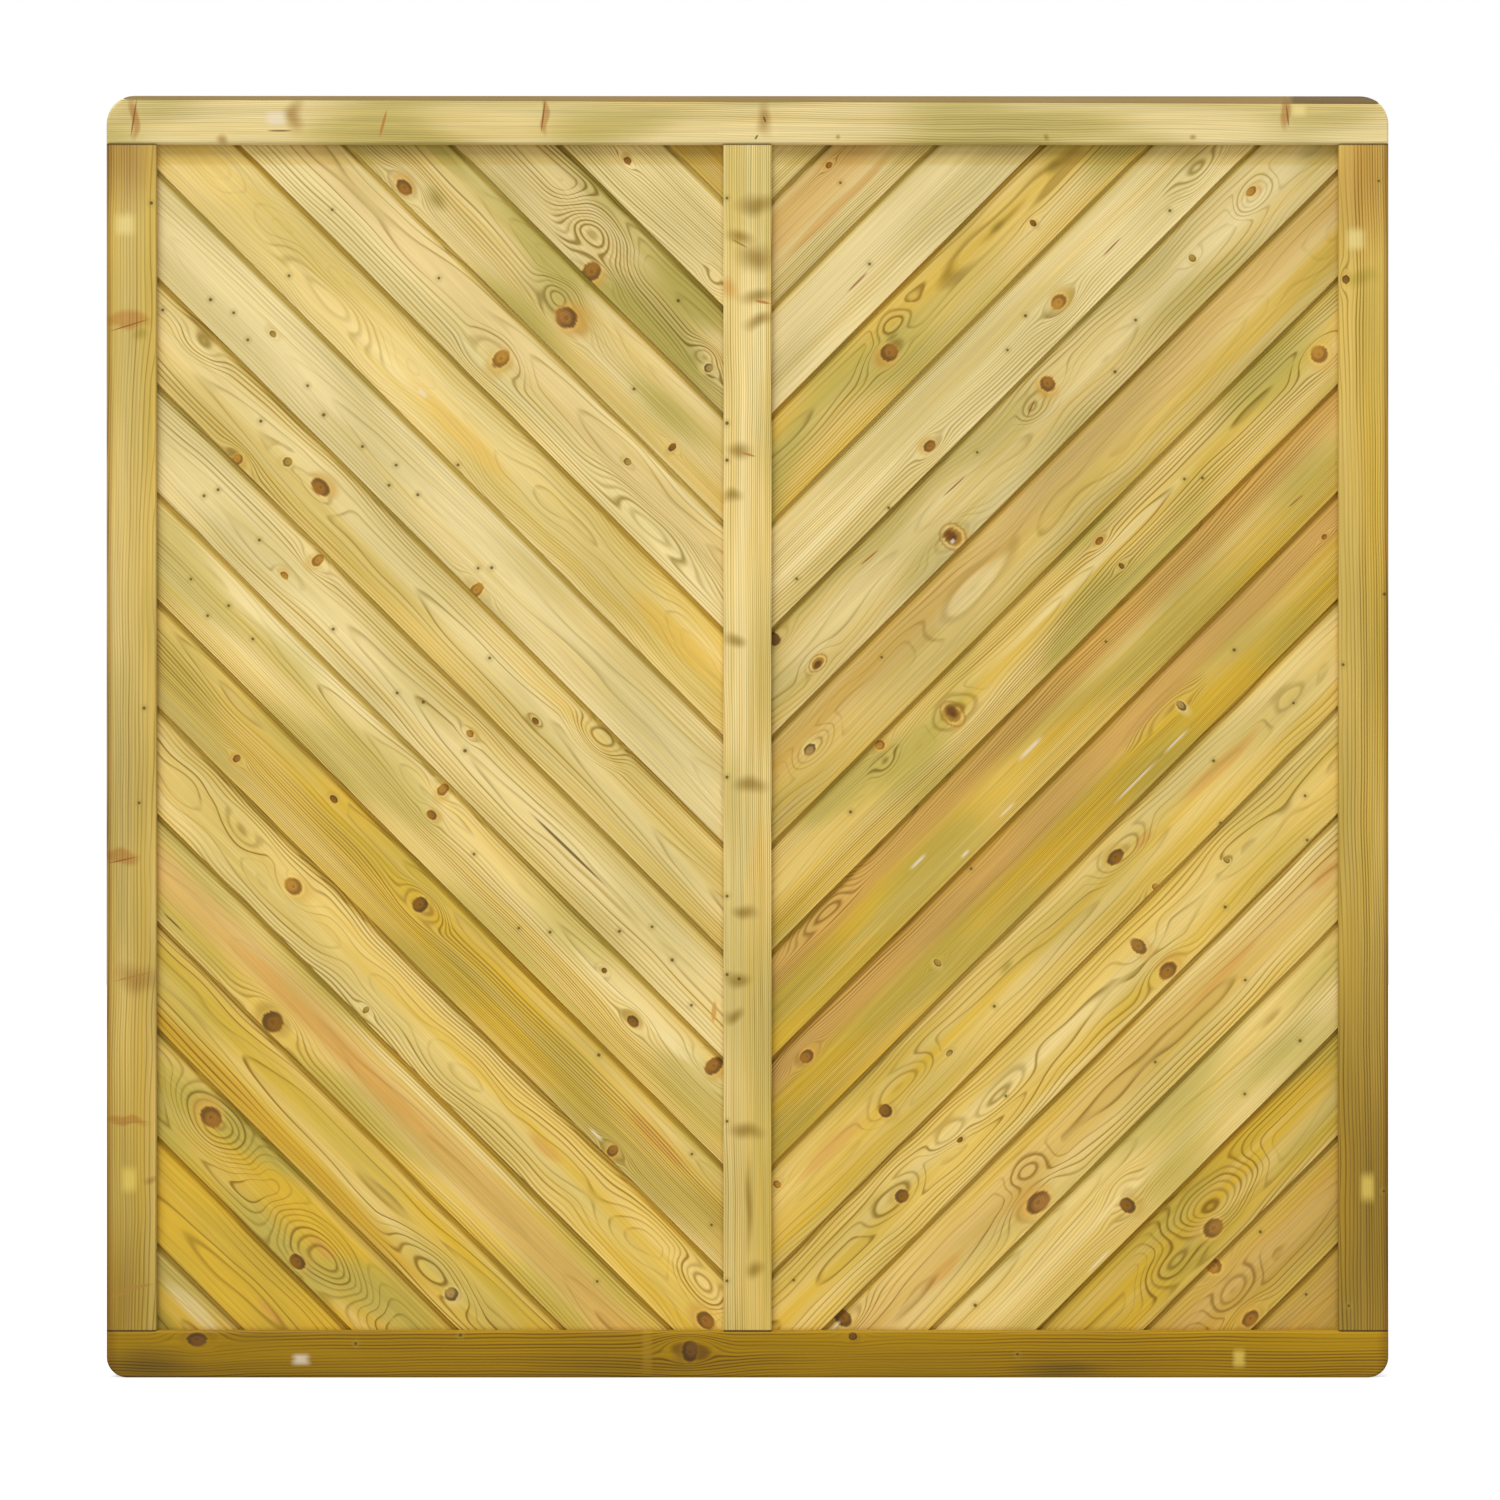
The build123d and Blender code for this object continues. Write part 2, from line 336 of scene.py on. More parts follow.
    # cracks, pin knots and chips
    for startAlong, startAcross, endAlong, endAcross, wide, colour in look["cracks"]:
        runAlong, runAcross = endAlong - startAlong, endAcross - startAcross
        half = math.hypot(runAlong, runAcross) / 2
        wayAlong, wayAcross = runAlong / half / 2, runAcross / half / 2
        gap = flat.vector("SUBTRACT", flat, ((startAlong + endAlong) / 2, (startAcross + endAcross) / 2, 0))
        shape = flat.join(gap.dot((wayAlong / half, wayAcross / half, 0)),
                          gap.dot((-wayAcross / wide, wayAlong / wide, 0))).length() + wobble * 0.5
        tone = tone.mix(pineTones[colour], shape.ease(1.1, 0.6) * shares["crack"])
    dots = None
    for pinAlong, pinAcross in look["pins"]:
        away = flat.vector("DISTANCE", flat, (pinAlong, pinAcross, 0), out=1)
        dots = away if dots is None else dots.below(away)
    if dots is not None:
        dots = dots + wobble * 2.4
        tone = tone.mix(pineTones["olive"], dots.ease(9, 2.5, 0, shares["pinHalo"]))
        tone = tone.mix(pineTones["pin"], dots.ease(3.0, 1.4) * shares["pin"])
    for chipAlong, chipAcross, long, wide, colour in look["chips"]:
        shape = flat.spot((chipAlong, chipAcross), (long, wide))
        shape = shape.vector("MULTIPLY", shape, shape).length().root() + (fibre - 0.5) * 0.8  # a rounded square
        tone = tone.mix(pineTones[colour], shape.ease(1.5, 0.35) * depth.ease(1, -1) * shares["chip"])
    tone = finishing(tone, place, along, across, depth)

    bump = fibre.node("ShaderNodeBump", {}, {"Strength": finish["bump"], "Distance": finish["bumpHeight"],
                                             "Height": fibre})
    roughness = fibre * finish["fibreRough"] + finish["roughness"] - line * finish["lineGloss"]
    tree.links.new(tone.socket, shader.inputs["Base Color"])
    tree.links.new(roughness.socket, shader.inputs["Roughness"])
    tree.links.new(bump.socket, shader.inputs["Normal"])
    shader.inputs["Specular IOR Level"].default_value = finish["specular"]
    return material


# Boards: marks are millimetres along the board from the muntin and up from its lower lip
boardSizes = dict(cover=106.75, firstDrop=75, openingTop=1731.5, openingFoot=66, muntinHalf=33.75, openingHalf=830)
leftBoards = [
    dict(gold=0.82, value=0.85, spacing=2.2, pith=(-40, 40)),
    dict(gold=0.08, value=1.1, knots=[(240, 49, 5.6, "red")], eyes=[(35, 17, 20, 14, 1.5)], pith=(-30, 70),
         spacing=2.4),
    dict(gold=0.46, green=0.9, value=0.89, lines=1.2, spacing=2.4, pith=(65, 40),
         knots=[(272, 9, 14, "red"), (60, 30, 6.5, "ringed")], eyes=[(304, 50, 48, 32, 8), (76, 38, 22, 16, 3)],
         pins=[(157, 67)]),
    dict(gold=0.36, value=0.97, green=0.8, lines=0.9, spacing=2.2, pith=(80, 40), drift=20,
         knots=[(649, 14, 11.2, "red"), (358, 46, 15.4, "halo"), (124, 22, 5.6, "dark")],
         eyes=[(382, 58, 30, 24, 4)], pins=[(220, 42)], blots=[(607, 35, 22, 14, "olive")]),
    dict(gold=0.1, value=1.1, heart=(70, 30, 0.25), spacing=2.6, pith=(70, 60), drift=12,
         knots=[(489, 46, 12.6, "orange"), (261, 70, 5.6, "grey")], pins=[(631, 65), (805, 27)],
         eyes=[(166, 31, 84, 20, 4), (500, 42, 34, 26, 2)]),
    dict(gold=0.58, spacing=3.2, value=1.11, sway=14, wave=0.006, lines=0.55, pith=(60, 30),
         pins=[(889, 25), (533, 5)], chips=[(640, 41, 7, 3, "bare")], eyes=[(823, 43, 84, 22, 4)],
         lenses=[(150, 50, 90, 22, "amber"), (560, 40, 120, 16, "amber")]),
    dict(gold=0.06, spacing=2.6, value=1.01, knots=[(497, 6, 9.8, "orange"), (954, 58, 4.9, "grey")], lines=0.5,
         pins=[(1050, 30), (1014, 40), (973, 27), (868, 41), (517, 29), (504, 43), (650, 42), (823, 28),
               (753, 35), (701, 50), (688, 23)]),
    dict(gold=0.37, spacing=2.6, value=1.06,
         knots=[(861, 60, 12.6, "red"), (971, 4, 8.4, "orange"), (919, 52, 7, "grey"), (415, 41, 4.9, "dark")],
         eyes=[(337, 89, 34, 21, 4), (1124, 87, 34, 20, 2)], pins=[(986, 66), (523, 58), (1194, 79)]),
    dict(gold=0.15, spacing=2.6, value=1.04,
         knots=[(898, 91, 8.4, "orange"), (916, 43, 5.6, "orange"), (574, 70, 5.6, "orange")],
         cracks=[(442, 51, 276, 54, 2.6, "umber"), (44, 23, 66, 49, 4.2, "orange")],
         pins=[(1067, 62), (1075, 42), (976, 53), (814, 38), (562, 48), (687, 38), (652, 55), (229, 22),
               (201, 59), (148, 46), (84, 20)]),
    dict(gold=0.35, value=1.1, green=0.5, pith=(75, 25), spacing=2.2, lines=1.0,
         knots=[(638, 58, 7, "red"), (652, 94, 8.4, "orange"), (312, 75, 4.2, "dark"), (233, 53, 8.4, "dark"),
                (108, 89, 12.6, "red")],
         pins=[(1112, 53), (1048, 64), (1059, 33), (991, 55), (557, 61), (439, 32), (404, 59)],
         lenses=[(310, 66, 63, 7, "pale"), (178, 66, 39, 7, "pale")]),
    dict(gold=0.68, green=0.4, value=1.02, lines=1.0, pith=(85, 25), spacing=2.2,
         knots=[(995, 27, 5.6, "red"), (858, 83, 5.6, "dark"), (667, 64, 11.2, "dark"), (231, 10, 8.4, "red")],
         pins=[(340, 92), (149, 86), (59, 35)], eyes=[(664, 63, 26, 18, 2)],
         lenses=[(201, 66, 63, 11, "orange")], chips=[(263, 10, 11.2, 2.1, "bare")]),
    dict(gold=0.49, spacing=2.8, value=1.11, lines=1.2, sway=11, wave=0.006,
         knots=[(918, 63, 12.6, "orange"), (723, 12, 4.9, "grey"), (77, 41, 12.6, "red")],
         eyes=[(115, 73, 36, 21, 4), (1022, 66, 31, 17, 2)], lenses=[(407, 53, 31, 10, "orange")]),
    dict(gold=0.5, heart=(55, 26, 0.6), green=0.5, value=1.08, spacing=2.6, knots=[(911, 14, 15.4, "dark")],
         cracks=[(1131, 14, 1088, 15, 1.3, "dark")], pins=[(330, 79)],
         lenses=[(834, 55, 252, 14, "orange"), (645, 91, 230, 8, "pale")]),
    dict(gold=0.72, green=0.4, value=1.05, lines=1.3, spacing=4.5, pith=(60, 40), sway=10,
         knots=[(569, 28, 9.8, "ringed")], eyes=[(613, 32, 56, 22, 3)], lenses=[(950, 13, 420, 15, "honey")]),
    dict(gold=0.64, green=0.7, value=0.98, lines=1.0, spacing=3.4,
         knots=[(1091, 72, 15.4, "red"), (861, 14, 11.2, "dark")],
         eyes=[(1078, 70, 62, 36, 7), (842, 44, 76, 36, 8)], lenses=[(852, 52, 28, 8, "orange")]),
    dict(gold=0.99, value=0.98, lines=1.0, spacing=4, eyes=[(1010, 40, 150, 17, 2)],
         lenses=[(950, 42, 28, 8, "orange")]),
    dict(gold=0.6, green=0.6, value=0.89, spacing=3, lines=1.2, blots=[(1150, 30, 60, 14, "olive")],
         lenses=[(1130, 78, 60, 12, "pale")]),
]
rightBoards = [
    dict(gold=0.39, value=1.1, spacing=2.4, pith=(-40, 40)),
    dict(gold=0.33, value=1.01, heart=(70, 35, 0.6), spacing=2.2, pith=(-50, 60), knots=[(197, 83, 4.9, "red")],
         pins=[(191, 54)], lenses=[(168, 33, 126, 8, "orange")]),
    dict(gold=0.12, value=1, lines=0.5, spacing=2.4, pith=(-20, 70), pins=[(246, 51)],
         cracks=[(238, 45, 195, 45, 1.4, "red")]),
    dict(gold=0.71, green=0.7, value=1, lines=1.0, spacing=3, pith=(70, 35),
         knots=[(284, 50, 12.6, "red"), (556, 36, 4.9, "dark")],
         eyes=[(535, 68, 130, 19, 2), (318, 74, 28, 17, 3)],
         blots=[(520, 70, 14, 7, "olive"), (634, 72, 14, 8, "olive")]),
    dict(gold=0.25, value=1.05, spacing=2.2, pith=(-30, 70),
         knots=[(610, 39, 11.2, "orange"), (338, 24, 8.4, "red")],
         pins=[(563, 58), (511, 42), (811, 19), (236, 3), (74, 24)], cracks=[(737, 41, 696, 40, 1.4, "red")],
         lenses=[(387, 23, 36, 6, "pale")], eyes=[(880, 31, 42, 20, 3)]),
    dict(gold=0.36, spacing=3.2, green=0.4, value=0.91, sway=10, wave=0.005, lines=0.7,
         knots=[(624, 75, 11.2, "red"), (378, 17, 13, "soft"), (118, 26, 8.4, "soft"), (98, 94, 9.5, "stained"),
                (893, 56, 5.6, "grey"), (1018, 64, 7, "orange")],
         eyes=[(588, 64, 25, 15, 3), (1017, 58, 28, 18, 4)], pins=[(486, 77), (775, 51), (703, 20)],
         cracks=[(597, 73, 570, 62, 1.3, "red"), (453, 65, 407, 67, 1.3, "red"),
                 (293, 78, 256, 81, 1.3, "red")], blots=[(376, 14, 9, 9, "umber")],
         chips=[(373, 13, 3.2, 2.6, "bare")]),
    dict(gold=0.7, heart=(80, 30, 0.4), value=0.91, sway=12, wave=0.005, spacing=3.6, lines=0.65,
         knots=[(131, 55, 8.4, "ringed")], pins=[(294, 75)], eyes=[(140, 54, 34, 17, 3), (455, 52, 80, 20, 2)],
         lenses=[(450, 52, 75, 15, "pale")]),
    dict(gold=0.6, green=0.7, value=1, pith=(60, 20), spacing=2.4, lines=1.0,
         knots=[(415, 55, 12, "soft"), (312, 96, 7, "orange"), (733, 81, 5.6, "red"), (730, 34, 4.2, "dark"),
                (1137, 48, 12.6, "orange")], eyes=[(416, 57, 30, 21, 2), (297, 72, 25, 11, 2)],
         pins=[(216, 59), (879, 58), (898, 41)], lenses=[(708, 62, 200, 11, "pale")]),
    dict(gold=0.88, green=0.5, value=1.02, lines=1.0, heart=(88, 24, 0.75), pith=(105, 15), spacing=2,
         eyes=[(199, 93, 56, 18, 4)], pins=[(746, 81)], cracks=[(1060, 33, 1090, 31, 1.1, "red")],
         chips=[(564, 50, 19.6, 2.8, "bare"), (340, 49, 12.6, 2.1, "bare"), (480, 12, 12.6, 1.4, "bare"),
                (395, 10, 7, 2.1, "bare")]),
    dict(gold=0.93, green=0.5, value=0.97, lines=1.0, heart=(84, 26, 0.8), pith=(105, 15), spacing=2,
         knots=[(864, 49, 7, "ringed"), (143, 73, 9.8, "red"), (1174, 75, 4.2, "red"), (366, 36, 5.6, "grey")],
         eyes=[(837, 58, 56, 17, 3)], pins=[(972, 52), (493, 96)],
         chips=[(824, 19, 19.6, 1.4, "bare"), (743, 19, 33.6, 1.4, "bare")]),
    dict(gold=0.57, value=1.02, spacing=3.4, lines=0.9, sway=10,
         knots=[(755, 71, 11.2, "dark"), (765, 1, 5.6, "orange"), (274, 47, 9.8, "dark"),
                (395, 41, 4.9, "grey"), (93, 82, 5.6, "orange")],
         pins=[(948, 69), (1085, 47), (893, 0), (486, 43)],
         lenses=[(947, 58, 87, 10, "orange"), (179, 64, 70, 13, "orange"), (802, 62, 22, 7, "orange")],
         eyes=[(1083, 55, 36, 15, 2), (770, 70, 42, 18, 3), (313, 59, 56, 18, 3)],
         blots=[(537, 70, 14, 6, "olive")]),
    dict(gold=0.54, value=1.07, sway=11, wave=0.005, spacing=3.2,
         knots=[(796, 66, 11.2, "brown"), (801, 13, 12.6, "red"), (312, 53, 9.8, "dark"),
                (969, 64, 4.9, "grey"), (426, 51, 4.2, "dark")],
         pins=[(1111, 50), (921, 19), (1069, 4), (515, 49), (121, 77)],
         eyes=[(509, 57, 56, 17, 3), (425, 71, 34, 15, 2), (296, 61, 42, 17, 2)]),
    dict(gold=0.47, value=1.05, heart=(60, 30, 0.35), spacing=3.4,
         knots=[(548, 18, 16.1, "halo"), (239, 97, 12.6, "dark")], pins=[(804, 41), (975, 33)],
         lenses=[(1160, 59, 36, 10, "orange"), (958, 60, 84, 8, "orange"), (385, 45, 45, 10, "orange")],
         eyes=[(571, 59, 36, 20, 3)], chips=[(225, 97, 7, 2.1, "bare")]),
    dict(gold=0.34, value=1.04, green=0.6, spacing=2.4, lines=0.7, pith=(90, 50),
         knots=[(741, 33, 11.2, "dark")], pins=[(1076, 25), (968, 27), (490, 85)], eyes=[(752, 52, 31, 17, 2)],
         chips=[(657, 6, 19.6, 1.4, "bare")]),
    dict(gold=0.79, green=0.5, value=0.89, lines=1.0, spacing=3.2, knots=[(910, 32, 14, "brown")],
         eyes=[(930, 60, 72, 34, 8), (835, 34, 50, 24, 4)]),
    dict(gold=0.7, spacing=3, heart=(60, 40, 0.5), value=0.86, lines=0.8,
         knots=[(980, 100, 11.2, "orange"), (964, 12, 11.2, "red")], pins=[(1060, 88)],
         eyes=[(975, 57, 42, 20, 3)]),
    dict(gold=0.72, spacing=3, heart=(60, 40, 0.5), value=0.79, lines=1.0, pins=[(1150, 87)]),
]

# Shadow-gap joint with painted shade on its floor and edge and painted light on its lips, painted shade along the
# frame, and the top rail's painted shadow as a strip under it
jointLook = dict(face=100.25, jointEdgeShade=paint(220, 212, 178), edgeWide=4.5, jointFloorShade=paint(238, 236, 190),
                 lip=0.24, lipLightWide=2.5, dirt=0.82, frameShadeWide=6, strip=paint(248, 241, 214), stripWide=27)


def boardEdges(tone, place, along, across, depth):
    look = jointLook
    front = depth.ease(1, -1)
    upper = across.ease(boardSizes["cover"], look["face"] + 2)  # the painted floor shade fades out right under the next board, where painted light takes over
    # painted shade on the board face as it nears the joint floor
    border = across.ease(look["face"] - look["edgeWide"], look["face"] - 0.5) * front
    tone = tone.mix(look["jointEdgeShade"], border, "MULTIPLY")
    # painted shade on the joint floor
    jointFloor = across.ease(look["face"] - 0.3, look["face"] + 0.3) * upper * front
    tone = tone.mix(look["jointFloorShade"], jointFloor, "MULTIPLY")
    # painted light: lip lightens the board's downward lower chamfer and the joint floor under the next board's lip
    tone = tone.scaled((across.ease(look["lipLightWide"], 0.5) + 1 - upper) * front * look["lip"] + 1)
    sideways = place.dot((1000, 0, 0)).size()
    height = place.dot((0, 0, 1000))
    fromTop = boardSizes["openingTop"] - height
    edge = (sideways - boardSizes["muntinHalf"]).below(boardSizes["openingHalf"] - sideways)
    edge = edge.below(height - boardSizes["openingFoot"]).below(fromTop)
    # painted shadow of the top rail: a darker, yellower strip on the boards under it
    tone = tone.mix(look["strip"], fromTop.ease(look["stripWide"] + 4, look["stripWide"] - 3), "MULTIPLY")
    # painted shade on the boards where they meet the muntin, stiles and rails
    return tone.scaled(edge.ease(0, look["frameShadeWide"], look["dirt"], 1))


slant = math.sqrt(0.5)
boardSeeds = dict(step=3.37, right=40)
for side, sign, looks in (("left", -1, leftBoards), ("right", 1, rightBoards)):
    for number, look in enumerate(looks, 1):
        lip = boardSizes["openingTop"] - boardSizes["firstDrop"] - (number - 1) * boardSizes["cover"] / slant
        outward = (sign * slant, 0, slant)
        upward = (-sign * slant, 0, slant)
        axes = [(outward, (boardSizes["muntinHalf"] + lip) * slant),
                (upward, (lip - boardSizes["muntinHalf"]) * slant),
                ((0, 1, 0), 0)]
        seed = number * boardSeeds["step"] + (boardSeeds["right"] if sign > 0 else 0)
        board = nodes[f"{side}_board_{number:02d}"]
        board.data.materials[0] = pine(f"{side}Board{number:02d}", axes, look, seed, boardEdges)
print("boards finished")

# Frame timbers: marks are millimetres along the timber (from the middle of a rail, or up from the ground)
# and across it (up from a rail's lower edge, or to the right from an upright's left edge)
frameLooks = {
    "top_rail": dict(
        gold=0.2, green=0.6, value=0.98, pith=(-60, 40), drift=10, spacing=2.6, lines=0.75, sway=4,
        lenses=[(-862, 36, 7, 32, "rust"), (-287, 40, 6, 30, "rust"), (755, 46, 9, 26, "rust")],
        cracks=[(-866, 8, -857, 66, 1.6, "red"), (-517, 8, -506, 50, 2.4, "rust"),
                (-676, 19, -638, 19, 1.2, "umber"), (-290, 14, -284, 64, 1.4, "red"),
                (22, 40, 26, 30, 1.6, "umber"), (10, 6, 15, 14, 1.8, "umber"), (756, 58, 760, 24, 1.4, "red")],
        blots=[(-634, 39, 14, 26, "brown"), (-735, 8, 8, 8, "brown"), (24, 36, 12, 26, "brown"),
               (127, 10, 5, 4, "brown"), (424, 9, 5, 5, "brown"), (628, 9, 5, 5, "brown")],
        chips=[(-662, 36, 13, 9, "bare"), (774, 48, 10, 8, "chip")]),
    "bottom_rail": dict(
        gold=1.0, value=1.03, stain=(158, 122, 0, 1.0), pith=(110, 40), spacing=3.2, lines=1.2, sway=5,
        fade=0.00012, knots=[(-773, 54, 12, "stained"), (-81, 37, 13, "stained"), (148, 58, 6, "stained")],
        pins=[(-403, 60), (-550, 48), (379, 33)],
        blots=[(440, 12, 70, 16, "smoke"), (-840, 20, 70, 30, "smoke")],
        chips=[(-627, 26, 11, 7, "bare"), (690, 27, 8, 12, "gleam"), (-141, 40, 7, 34, "bronze")]),
    "left_stile": dict(
        gold=0.55, green=0.3, stain=(190, 160, 74, 0.5), pith=(80, 40), drift=8, spacing=2.4, lines=0.9, sway=4,
        fade=0.00016, value=0.9,
        lenses=[(1483, 30, 14, 36, "rust"), (733, 24, 11, 28, "rust"), (359, 28, 8, 32, "rust")],
        cracks=[(1468, 2, 1487, 62, 1.2, "red"), (722, 2, 732, 46, 1.2, "red"), (357, 4, 360, 60, 1.4, "brown"),
                (556, 8, 570, 66, 1.8, "brown"), (122, 16, 132, 68, 3.0, "brown"),
                (112, 2, 120, 30, 2.4, "brown")], pins=[(1649, 63), (940, 53), (807, 46)],
        blots=[(1463, 46, 10, 12, "olive"), (278, 61, 6, 10, "brown"), (562, 44, 20, 34, "brown"),
               (1720, 26, 90, 50, "brown"), (100, 10, 150, 50, "bronze")],
        chips=[(1619, 26, 14, 13, "chip"), (278, 32, 16, 10, "gleam")]),
    "right_stile": dict(
        gold=0.7, green=0.3, stain=(180, 150, 60, 0.6), pith=(-20, 40), drift=8, spacing=2.6, lines=0.95,
        sway=4, fade=0.00034, value=0.755, knots=[(1542, 10, 6, "dark")],
        pins=[(1680, 56), (262, 63), (101, 14), (1001, 6), (1100, 64)],
        blots=[(1690, 36, 120, 50, "brown"), (1542, 30, 14, 26, "olive"), (250, 36, 420, 90, "bronze")],
        chips=[(1598, 24, 14, 12, "chip"), (267, 40, 18, 9, "gleam")]),
    "muntin": dict(
        gold=0.38, green=0.3, pith=(-50, 40), drift=5, spacing=2.4, lines=0.9, sway=3, fade=0.0001, value=0.985,
        pins=[(1656, 5), (1340, 5), (1288, 5), (843, 5), (676, 5), (566, 5), (360, 5), (136, 5), (560, 22)],
        cracks=[(1512, 44, 1508, 66, 2.2, "rust"), (1299, 24, 1293, 46, 2.0, "rust"),
                (1598, 12, 1586, 34, 1.6, "bronze")],
        blots=[(1648, 48, 15, 34, "moss"), (1602, 24, 12, 22, "moss"), (1574, 46, 22, 30, "moss"),
               (1527, 8, 16, 14, "orange"), (1518, 48, 12, 28, "moss"), (1481, 50, 12, 24, "moss"),
               (1302, 22, 14, 20, "moss"), (1238, 10, 10, 16, "moss"), (1036, 16, 10, 16, "moss"),
               (832, 37, 14, 26, "moss"), (653, 30, 11, 20, "moss"), (556, 20, 12, 20, "moss"),
               (508, 13, 11, 15, "moss"), (347, 30, 12, 28, "moss"), (240, 36, 70, 6, "moss"),
               (150, 44, 14, 14, "moss")]),
}
# Frame marks and painted shade; rim is a painted shade colour for the outer edges of the stiles and the ends of
# the bottom rail
frameWearAndShade = dict(halfWidth=900, shoulderDark=paint(84, 58, 20), shoulderWide=1.8, shoulderShare=0.85,
                 rim=paint(196, 174, 128), outerShadeWide=11, sideShare=0.25,
                 wane=paint(124, 98, 50), waneDark=paint(78, 54, 16), waneKnot=764, waneLevel=82.75,
                 waneSlope=0.003611, waneShare=0.9, footShade=(0.86, 1.1), endShadeWide=19, endShadeShare=0.6)
frameSeeds = dict(first=91, step=5.3)


def uprightEnds(tone, place, along, across, depth):  # dark shoulder joints, and painted shade along the outer edges
    wearAndShade = frameWearAndShade
    ends = (along - boardSizes["openingFoot"]).below(boardSizes["openingTop"] - along)
    outer = wearAndShade["halfWidth"] - place.dot((1000, 0, 0)).size()
    # painted shade on the rounded outer edges, which turn away from the light; weaker on the side face itself
    rim = outer.ease(wearAndShade["outerShadeWide"], 1) * outer.ease(0, 2, wearAndShade["sideShare"], 1)
    tone = tone.mix(wearAndShade["rim"], rim, "MULTIPLY")
    shoulder = ends.ease(wearAndShade["shoulderWide"], 0.5) * ends.ease(-2.5, -0.5)
    return tone.mix(wearAndShade["shoulderDark"], shoulder * wearAndShade["shoulderShare"])


def topRailWane(tone, place, along, across, depth):  # bark-brown facet on the top front edge
    wearAndShade = frameWearAndShade
    facet = (across - depth + along * wearAndShade["waneSlope"] - wearAndShade["waneLevel"]).size().ease(1.0, 0.4)
    knot = along.ease(wearAndShade["waneKnot"] - 6, wearAndShade["waneKnot"] + 6)
    return tone.mix(knot.between(wearAndShade["wane"], wearAndShade["waneDark"]), facet * wearAndShade["waneShare"])


def bottomRailFace(tone, place, along, across, depth):  # darker towards the ground, and painted shade towards both ends
    wearAndShade = frameWearAndShade
    outer = wearAndShade["halfWidth"] - along.size()
    tone = tone.scaled(across.ease(0, boardSizes["openingFoot"], *wearAndShade["footShade"]))
    # painted shade at both outer ends of the rail
    return tone.mix(wearAndShade["rim"], outer.ease(wearAndShade["endShadeWide"], 1) * wearAndShade["endShadeShare"], "MULTIPLY")


for number, (name, look) in enumerate(frameLooks.items()):
    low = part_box(name)[0] * 1000
    if name.endswith("rail"):
        axes = [((1, 0, 0), 0), ((0, 0, 1), low.z), ((0, 1, 0), 0)]
        finishing = topRailWane if name.startswith("top") else bottomRailFace
    else:
        axes = [((0, 0, 1), 0), ((1, 0, 0), low.x), ((0, 1, 0), 0)]
        finishing = uprightEnds
    words = name.split("_")
    shortName = words[0] + "".join(word.title() for word in words[1:])
    seed = frameSeeds["first"] + number * frameSeeds["step"]
    nodes[name].data.materials[0] = pine(shortName, axes, look, seed, finishing)
print("frame finished")


# Zinc-plated screws
screwLook = dict(colour=paint(196, 192, 180), dull=paint(150, 144, 128), roughness=0.38, roughSpread=0.2,
                 spangle=700, bump=0.2, bumpHeight=0.0002)


def zinc(name, look):
    material = bpy.data.materials.new(name)
    material.use_nodes = True
    tree = material.node_tree
    shader = tree.nodes["Principled BSDF"]
    place = Wire(tree, tree.nodes.new("ShaderNodeTexCoord").outputs["Object"])
    spangle = place.noise((look["spangle"],) * 3, 2.3, 3.0)
    colour = spangle.ease(0.4, 0.65).between(look["colour"], look["dull"])
    bump = place.node("ShaderNodeBump", {}, {"Strength": look["bump"], "Distance": look["bumpHeight"],
                                             "Height": spangle})
    tree.links.new(colour.socket, shader.inputs["Base Color"])
    tree.links.new((spangle * look["roughSpread"] + look["roughness"]).socket, shader.inputs["Roughness"])
    tree.links.new(bump.socket, shader.inputs["Normal"])
    shader.inputs["Metallic"].default_value = 1.0
    return material


nodes["frame_screws"].data.materials[0] = zinc("zincScrew", screwLook)
print("screws finished")

# Floor, light and camera
studio = dict(floorSize=30.0, floorColour=paint(186, 186, 186), floorRoughness=0.9, floorGlow=0.62, sky=0.46,
              sunStrength=2.6, sunSpread=34, sunFrom=(-0.2, -0.62, 1.0),
              backStrength=1.0, backFrom=(0.4, 0.8, 0.8),
              sensor=36, viewWidth=2.1057, viewCentre=(0.0035, 0.8812), viewDistance=9.0)

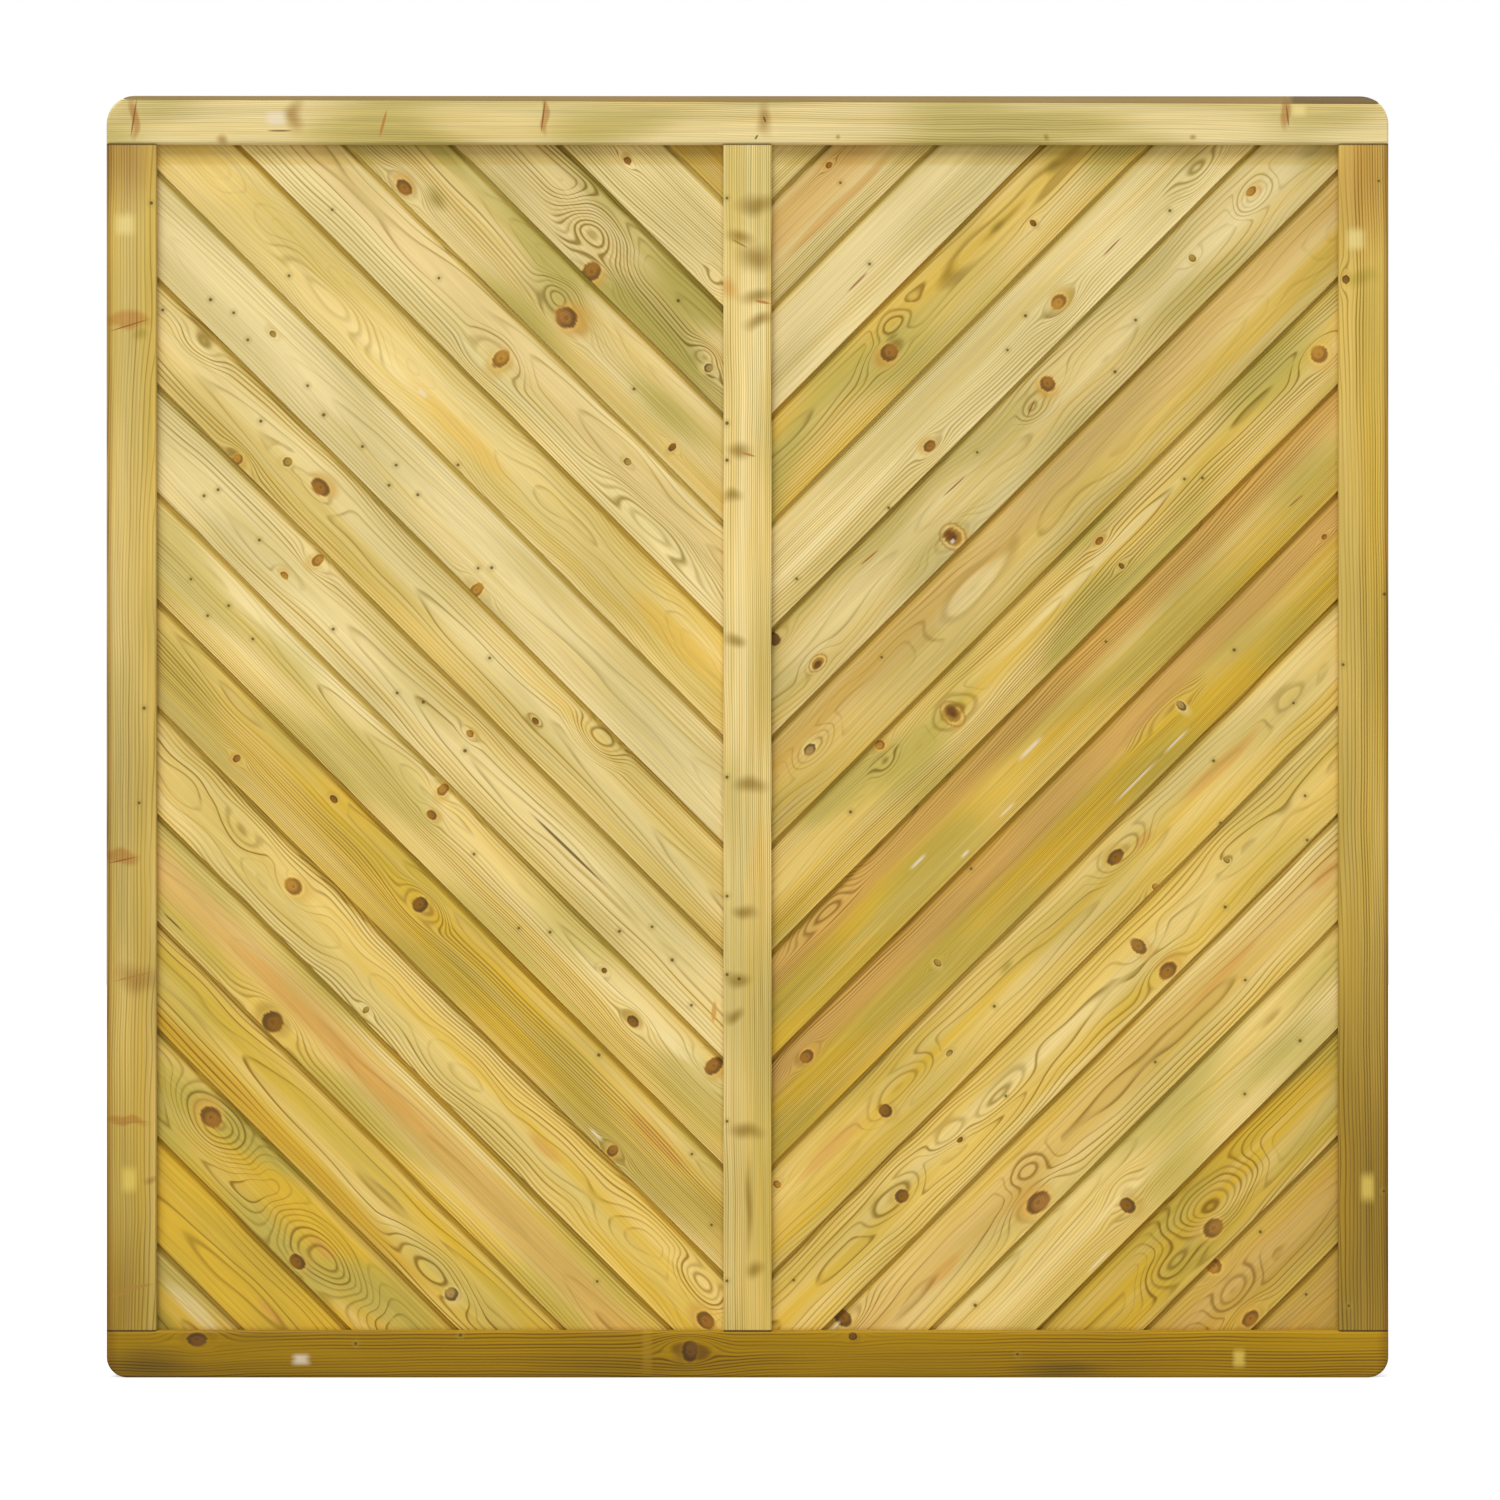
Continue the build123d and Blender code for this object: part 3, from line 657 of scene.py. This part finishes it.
half = studio["floorSize"] / 2
floorMesh = bpy.data.meshes.new("floor")
corners = [(-half, -half, 0), (half, -half, 0), (half, half, 0), (-half, half, 0)]
floorMesh.from_pydata(corners, [], [(0, 1, 2, 3)])
floor = bpy.data.objects.new("floor", floorMesh)
bpy.context.scene.collection.objects.link(floor)
floorMaterial = bpy.data.materials.new("floorWhite")
floorMaterial.use_nodes = True
floorTree = floorMaterial.node_tree
floorShader = floorTree.nodes["Principled BSDF"]
floorShader.inputs["Base Color"].default_value = studio["floorColour"]
floorShader.inputs["Roughness"].default_value = studio["floorRoughness"]
floorShader.inputs["Specular IOR Level"].default_value = 0.0
floorShader.inputs["Emission Strength"].default_value = 1.0


def seenRays(tree):  # 1 for what the camera, a gloss or a glass shows, 0 for light that falls on the panel
    rays = tree.nodes.new("ShaderNodeLightPath").outputs
    seen = Wire(tree, rays["Is Camera Ray"]).above(Wire(tree, rays["Is Glossy Ray"]))
    return seen.above(Wire(tree, rays["Is Transmission Ray"]))


glow = seenRays(floorTree) * studio["floorGlow"]
floorTree.links.new(glow.node("ShaderNodeCombineColor", {}, {0: glow, 1: glow, 2: glow}).socket,
                    floorShader.inputs["Emission Color"])
floorMesh.materials.append(floorMaterial)

world = bpy.data.worlds.new("studio")
bpy.context.scene.world = world
world.use_nodes = True
background = world.node_tree.nodes["Background"]
background.inputs["Color"].default_value = (1, 1, 1, 1)
skyStrength = seenRays(world.node_tree) * (1 - studio["sky"]) + studio["sky"]
world.node_tree.links.new(skyStrength.socket, background.inputs["Strength"])

for lampName, strength, source in (("softSun", studio["sunStrength"], studio["sunFrom"]),
                                   ("backFill", studio["backStrength"], studio["backFrom"])):
    lamp = bpy.data.objects.new(lampName, bpy.data.lights.new(lampName, "SUN"))
    lamp.data.energy = strength
    lamp.data.angle = math.radians(studio["sunSpread"])
    lamp.rotation_euler = Vector(source).to_track_quat("Z", "Y").to_euler()
    bpy.context.scene.collection.objects.link(lamp)

camera = bpy.data.objects.new("camera", bpy.data.cameras.new("camera"))
bpy.context.scene.collection.objects.link(camera)
camera.data.sensor_width = studio["sensor"]
camera.data.lens = studio["sensor"] * studio["viewDistance"] / studio["viewWidth"]
camera.location = (studio["viewCentre"][0], cadBox[0].y - studio["viewDistance"], studio["viewCentre"][1])
camera.rotation_euler = (math.pi / 2, 0, 0)
bpy.context.scene.camera = camera
bpy.context.scene.view_settings.view_transform = "Standard"
print("studio finished")
